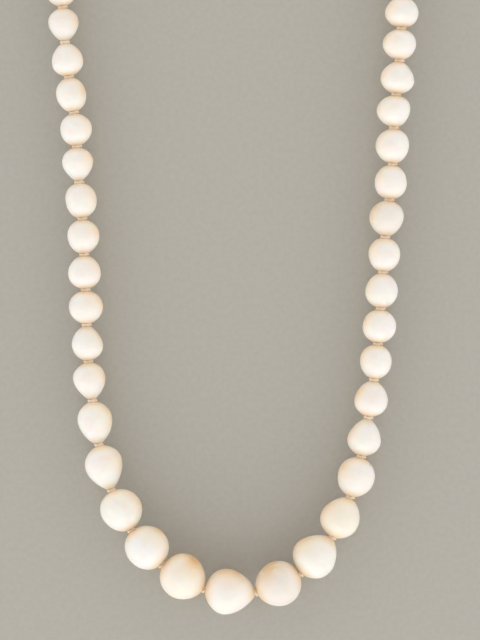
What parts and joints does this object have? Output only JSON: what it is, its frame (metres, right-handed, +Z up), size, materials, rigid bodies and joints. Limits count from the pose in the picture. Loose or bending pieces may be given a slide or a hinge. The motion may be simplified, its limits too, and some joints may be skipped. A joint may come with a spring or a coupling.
{
  "type": "pearl necklace",
  "caption": "Graduated strand of near-round cream pearls on knotted silk with a gold box clasp, laid open in a long U, each knot hinged so that it bends",
  "frame": {"origin": "middle of the underside of the strand as it lies open on a flat surface", "axes": "+Y from the largest pearl to the two open ends, the longest extent; +X across the curve, to the end with the clasp box; +Z up from the surface, the shortest extent"},
  "size_m": [0.081, 0.1922, 0.0099],
  "materials": {
    "pearl": "satin",
    "silk": "matte",
    "gimp": "satin",
    "gold": "polished",
    "gold_cover": "satin"
  },
  "bodies": {
    "left_pearl_23": {"left_pearl_23": "pearl", "gimp_left": "gimp"},
    "left_pearl_22": {"left_pearl_22": "pearl"},
    "left_pearl_21": {"left_pearl_21": "pearl"},
    "left_pearl_20": {"left_pearl_20": "pearl"},
    "left_pearl_19": {"left_pearl_19": "pearl"},
    "left_pearl_18": {"left_pearl_18": "pearl", "silk_left_back": "silk"},
    "left_pearl_17": {"left_pearl_17": "pearl"},
    "left_pearl_16": {"left_pearl_16": "pearl"},
    "left_pearl_15": {"left_pearl_15": "pearl"},
    "left_pearl_14": {"left_pearl_14": "pearl"},
    "left_pearl_13": {"left_pearl_13": "pearl"},
    "left_pearl_12": {"left_pearl_12": "pearl"},
    "left_pearl_11": {"left_pearl_11": "pearl"},
    "left_pearl_10": {"left_pearl_10": "pearl"},
    "left_pearl_09": {"left_pearl_09": "pearl"},
    "left_pearl_08": {"left_pearl_08": "pearl"},
    "left_pearl_07": {"left_pearl_07": "pearl"},
    "left_pearl_06": {"left_pearl_06": "pearl", "silk_left_front": "silk"},
    "left_pearl_05": {"left_pearl_05": "pearl"},
    "left_pearl_04": {"left_pearl_04": "pearl"},
    "left_pearl_03": {"left_pearl_03": "pearl"},
    "left_pearl_02": {"left_pearl_02": "pearl"},
    "left_pearl_01": {"left_pearl_01": "pearl"},
    "centre_pearl": {"centre_pearl": "pearl"},
    "right_pearl_01": {"right_pearl_01": "pearl"},
    "right_pearl_02": {"right_pearl_02": "pearl"},
    "right_pearl_03": {"right_pearl_03": "pearl"},
    "right_pearl_04": {"right_pearl_04": "pearl"},
    "right_pearl_05": {"right_pearl_05": "pearl"},
    "right_pearl_06": {"right_pearl_06": "pearl", "silk_right_front": "silk"},
    "right_pearl_07": {"right_pearl_07": "pearl"},
    "right_pearl_08": {"right_pearl_08": "pearl"},
    "right_pearl_09": {"right_pearl_09": "pearl"},
    "right_pearl_10": {"right_pearl_10": "pearl"},
    "right_pearl_11": {"right_pearl_11": "pearl"},
    "right_pearl_12": {"right_pearl_12": "pearl"},
    "right_pearl_13": {"right_pearl_13": "pearl"},
    "right_pearl_14": {"right_pearl_14": "pearl"},
    "right_pearl_15": {"right_pearl_15": "pearl"},
    "right_pearl_16": {"right_pearl_16": "pearl"},
    "right_pearl_17": {"right_pearl_17": "pearl"},
    "right_pearl_18": {"right_pearl_18": "pearl", "silk_right_back": "silk"},
    "right_pearl_19": {"right_pearl_19": "pearl"},
    "right_pearl_20": {"right_pearl_20": "pearl"},
    "right_pearl_21": {"right_pearl_21": "pearl"},
    "right_pearl_22": {"right_pearl_22": "pearl"},
    "right_pearl_23": {"right_pearl_23": "pearl", "gimp_right": "gimp"},
    "clasp_tongue": {"clasp_tongue": "gold", "clasp_tongue_eye": "gold"},
    "clasp_leaf": {"clasp_tongue_leaf": "gold"},
    "clasp_box": {"clasp_box": "gold", "clasp_back_plate": "gold", "clasp_cover": "gold_cover", "clasp_box_eye": "gold"}
  },
  "joints": [
    {"name": "right_knot_01_sideways", "type": "hinge", "parent": "centre_pearl", "child": "right_pearl_01", "pos_m": [0.00513, -0.09153, 0.00494], "axis": [0, 0, 1], "range_deg": [-54.5, 1.5]},
    {"name": "right_knot_02_upward", "type": "hinge", "parent": "right_pearl_01", "child": "right_pearl_02", "pos_m": [0.01457, -0.08752, 0.00487], "axis": [0.5842, -0.8116, 0], "range_deg": [-12, 12]},
    {"name": "right_knot_03_sideways", "type": "hinge", "parent": "right_pearl_02", "child": "right_pearl_03", "pos_m": [0.02134, -0.07987, 0.00454], "axis": [0, 0, -1], "range_deg": [-10.5, 45.5]},
    {"name": "right_knot_04_upward", "type": "hinge", "parent": "right_pearl_03", "child": "right_pearl_04", "pos_m": [0.02517, -0.07126, 0.0042], "axis": [-0.9426, 0.3338, 0], "range_deg": [-26.6, 26.6]},
    {"name": "right_knot_05_sideways", "type": "hinge", "parent": "right_pearl_04", "child": "right_pearl_05", "pos_m": [0.02748, -0.06265, 0.0039], "axis": [0, 0, 1], "range_deg": [-32.5, 23.5]},
    {"name": "right_knot_06_upward", "type": "hinge", "parent": "right_pearl_05", "child": "right_pearl_06", "pos_m": [0.02903, -0.05428, 0.00371], "axis": [0.9863, -0.165, 0], "range_deg": [-27.9, 27.9], "deforming": ["silk_right_front"]},
    {"name": "right_knot_07_sideways", "type": "hinge", "parent": "right_pearl_06", "child": "right_pearl_07", "pos_m": [0.03022, -0.04629, 0.00364], "axis": [0, 0, -1], "range_deg": [-25.5, 30.5]},
    {"name": "right_knot_08_upward", "type": "hinge", "parent": "right_pearl_07", "child": "right_pearl_08", "pos_m": [0.03103, -0.03862, 0.00364], "axis": [-0.9958, 0.0915, 0], "range_deg": [-28, 28]},
    {"name": "right_knot_09_sideways", "type": "hinge", "parent": "right_pearl_08", "child": "right_pearl_09", "pos_m": [0.03162, -0.03114, 0.00368], "axis": [0, 0, 1], "range_deg": [-28.5, 27.5]},
    {"name": "right_knot_10_upward", "type": "hinge", "parent": "right_pearl_09", "child": "right_pearl_10", "pos_m": [0.03216, -0.02338, 0.00359], "axis": [0.9979, -0.0654, 0], "range_deg": [-28, 28]},
    {"name": "right_knot_11_sideways", "type": "hinge", "parent": "right_pearl_10", "child": "right_pearl_11", "pos_m": [0.03262, -0.0159, 0.00368], "axis": [0, 0, -1], "range_deg": [-30.5, 25.5]},
    {"name": "right_knot_12_upward", "type": "hinge", "parent": "right_pearl_11", "child": "right_pearl_12", "pos_m": [0.03345, -0.00795, 0.00369], "axis": [-0.995, 0.1002, 0], "range_deg": [-28, 28]},
    {"name": "right_knot_13_sideways", "type": "hinge", "parent": "right_pearl_12", "child": "right_pearl_13", "pos_m": [0.03418, -0.00042, 0.00366], "axis": [0, 0, 1], "range_deg": [-31.5, 24.5]},
    {"name": "right_knot_14_upward", "type": "hinge", "parent": "right_pearl_13", "child": "right_pearl_14", "pos_m": [0.03445, 0.00736, 0.00371], "axis": [0.9986, -0.0523, 0], "range_deg": [-27.9, 27.9]},
    {"name": "right_knot_15_sideways", "type": "hinge", "parent": "right_pearl_14", "child": "right_pearl_15", "pos_m": [0.03494, 0.01442, 0.00371], "axis": [0, 0, -1], "range_deg": [-29.5, 26.5]},
    {"name": "right_knot_16_upward", "type": "hinge", "parent": "right_pearl_15", "child": "right_pearl_16", "pos_m": [0.03564, 0.02168, 0.00373], "axis": [-0.9969, 0.0785, 0], "range_deg": [-27.9, 27.9]},
    {"name": "right_knot_17_sideways", "type": "hinge", "parent": "right_pearl_16", "child": "right_pearl_17", "pos_m": [0.03606, 0.02854, 0.00373], "axis": [0, 0, 1], "range_deg": [-27.5, 28.5]},
    {"name": "right_knot_18_upward", "type": "hinge", "parent": "right_pearl_17", "child": "right_pearl_18", "pos_m": [0.03653, 0.03532, 0.00366], "axis": [0.9981, -0.061, 0], "range_deg": [-28, 28], "deforming": ["silk_right_back"]},
    {"name": "right_knot_19_sideways", "type": "hinge", "parent": "right_pearl_18", "child": "right_pearl_19", "pos_m": [0.03693, 0.04283, 0.00355], "axis": [0, 0, -1], "range_deg": [-26.5, 29.5]},
    {"name": "right_knot_20_upward", "type": "hinge", "parent": "right_pearl_19", "child": "right_pearl_20", "pos_m": [0.03712, 0.04996, 0.00345], "axis": [-0.9999, 0.0131, 0], "range_deg": [-28, 28]},
    {"name": "right_knot_21_sideways", "type": "hinge", "parent": "right_pearl_20", "child": "right_pearl_21", "pos_m": [0.03712, 0.05731, 0.0034], "axis": [0, 0, 1], "range_deg": [-29.5, 26.5]},
    {"name": "right_knot_22_upward", "type": "hinge", "parent": "right_pearl_21", "child": "right_pearl_22", "pos_m": [0.03694, 0.06414, 0.00338], "axis": [0.9995, 0.0305, 0], "range_deg": [-28, 28]},
    {"name": "right_knot_23_sideways", "type": "hinge", "parent": "right_pearl_22", "child": "right_pearl_23", "pos_m": [0.03669, 0.07106, 0.00333], "axis": [0, 0, -1], "range_deg": [-27.5, 28.5]},
    {"name": "left_knot_01_sideways", "type": "hinge", "parent": "centre_pearl", "child": "left_pearl_01", "pos_m": [-0.00595, -0.09085, 0.00496], "axis": [0, 0, 1], "range_deg": [-1.5, 54.5]},
    {"name": "left_knot_02_upward", "type": "hinge", "parent": "left_pearl_01", "child": "left_pearl_02", "pos_m": [-0.01492, -0.08567, 0.0049], "axis": [0.6327, 0.7744, 0], "range_deg": [-21.4, 21.4]},
    {"name": "left_knot_03_sideways", "type": "hinge", "parent": "left_pearl_02", "child": "left_pearl_03", "pos_m": [-0.02144, -0.0783, 0.00469], "axis": [0, 0, -1], "range_deg": [-43, 13]},
    {"name": "left_knot_04_upward", "type": "hinge", "parent": "left_pearl_03", "child": "left_pearl_04", "pos_m": [-0.02568, -0.06979, 0.00434], "axis": [-0.9336, -0.3584, 0], "range_deg": [-25.9, 25.9]},
    {"name": "left_knot_05_sideways", "type": "hinge", "parent": "left_pearl_04", "child": "left_pearl_05", "pos_m": [-0.02837, -0.0601, 0.00394], "axis": [0, 0, 1], "range_deg": [-21, 35]},
    {"name": "left_knot_06_upward", "type": "hinge", "parent": "left_pearl_05", "child": "left_pearl_06", "pos_m": [-0.02976, -0.05078, 0.00367], "axis": [0.992, 0.1262, 0], "range_deg": [-27.9, 27.9], "deforming": ["silk_left_front"]},
    {"name": "left_knot_07_sideways", "type": "hinge", "parent": "left_pearl_06", "child": "left_pearl_07", "pos_m": [-0.03064, -0.04239, 0.0035], "axis": [0, 0, -1], "range_deg": [-31.5, 24.5]},
    {"name": "left_knot_08_upward", "type": "hinge", "parent": "left_pearl_07", "child": "left_pearl_08", "pos_m": [-0.03098, -0.03455, 0.00362], "axis": [-0.9994, -0.0349, 0], "range_deg": [-28, 28]},
    {"name": "left_knot_09_sideways", "type": "hinge", "parent": "left_pearl_08", "child": "left_pearl_09", "pos_m": [-0.03118, -0.02712, 0.00373], "axis": [0, 0, 1], "range_deg": [-29, 27]},
    {"name": "left_knot_10_upward", "type": "hinge", "parent": "left_pearl_09", "child": "left_pearl_10", "pos_m": [-0.03151, -0.01963, 0.00362], "axis": [0.9988, 0.048, 0], "range_deg": [-28, 28]},
    {"name": "left_knot_11_sideways", "type": "hinge", "parent": "left_pearl_10", "child": "left_pearl_11", "pos_m": [-0.03191, -0.012, 0.00355], "axis": [0, 0, -1], "range_deg": [-26, 30]},
    {"name": "left_knot_12_upward", "type": "hinge", "parent": "left_pearl_11", "child": "left_pearl_12", "pos_m": [-0.03258, -0.00425, 0.00347], "axis": [-0.9973, -0.0741, 0], "range_deg": [-28, 28]},
    {"name": "left_knot_13_sideways", "type": "hinge", "parent": "left_pearl_12", "child": "left_pearl_13", "pos_m": [-0.03305, 0.00338, 0.00348], "axis": [0, 0, 1], "range_deg": [-29.5, 26.5]},
    {"name": "left_knot_14_upward", "type": "hinge", "parent": "left_pearl_13", "child": "left_pearl_14", "pos_m": [-0.03368, 0.01057, 0.00345], "axis": [0.9936, 0.1132, 0], "range_deg": [-27.9, 27.9]},
    {"name": "left_knot_15_sideways", "type": "hinge", "parent": "left_pearl_14", "child": "left_pearl_15", "pos_m": [-0.03475, 0.0182, 0.00343], "axis": [0, 0, -1], "range_deg": [-29.5, 26.5]},
    {"name": "left_knot_16_upward", "type": "hinge", "parent": "left_pearl_15", "child": "left_pearl_16", "pos_m": [-0.03559, 0.02559, 0.00343], "axis": [-0.9958, -0.0915, 0], "range_deg": [-27.9, 27.9]},
    {"name": "left_knot_17_sideways", "type": "hinge", "parent": "left_pearl_16", "child": "left_pearl_17", "pos_m": [-0.03612, 0.03307, 0.00336], "axis": [0, 0, 1], "range_deg": [-28, 28]},
    {"name": "left_knot_18_upward", "type": "hinge", "parent": "left_pearl_17", "child": "left_pearl_18", "pos_m": [-0.03662, 0.04027, 0.00349], "axis": [0.9984, 0.0567, 0], "range_deg": [-28, 28], "deforming": ["silk_left_back"]},
    {"name": "left_knot_19_sideways", "type": "hinge", "parent": "left_pearl_18", "child": "left_pearl_19", "pos_m": [-0.03694, 0.04758, 0.00352], "axis": [0, 0, -1], "range_deg": [-29.5, 26.5]},
    {"name": "left_knot_20_upward", "type": "hinge", "parent": "left_pearl_19", "child": "left_pearl_20", "pos_m": [-0.03707, 0.05505, 0.00348], "axis": [-1, -0.0087, 0], "range_deg": [-28, 28]},
    {"name": "left_knot_21_sideways", "type": "hinge", "parent": "left_pearl_20", "child": "left_pearl_21", "pos_m": [-0.03707, 0.062, 0.00344], "axis": [0, 0, 1], "range_deg": [-27, 29]},
    {"name": "left_knot_22_upward", "type": "hinge", "parent": "left_pearl_21", "child": "left_pearl_22", "pos_m": [-0.03694, 0.06916, 0.00336], "axis": [0.9997, -0.0262, 0], "range_deg": [-28, 28]},
    {"name": "left_knot_23_sideways", "type": "hinge", "parent": "left_pearl_22", "child": "left_pearl_23", "pos_m": [-0.03671, 0.07594, 0.00332], "axis": [0, 0, -1], "range_deg": [-28.5, 27.5]},
    {"name": "clasp_tongue_swing", "type": "hinge", "parent": "left_pearl_23", "child": "clasp_tongue", "pos_m": [-0.03625, 0.08646, 0.00182], "axis": [0, 0, -1], "range_deg": [-40, 40]},
    {"name": "clasp_box_swing", "type": "hinge", "parent": "right_pearl_23", "child": "clasp_box", "pos_m": [0.03624, 0.08143, 0.00182], "axis": [0, 0, 1], "range_deg": [-40, 40]},
    {"name": "clasp_leaf_press", "type": "hinge", "parent": "clasp_tongue", "child": "clasp_leaf", "pos_m": [-0.03583, 0.096, 0.00192], "axis": [0.999, -0.0436, 0], "range_deg": [0, 5.5], "stiffness_Nm_per_rad": 0.02}
  ]
}
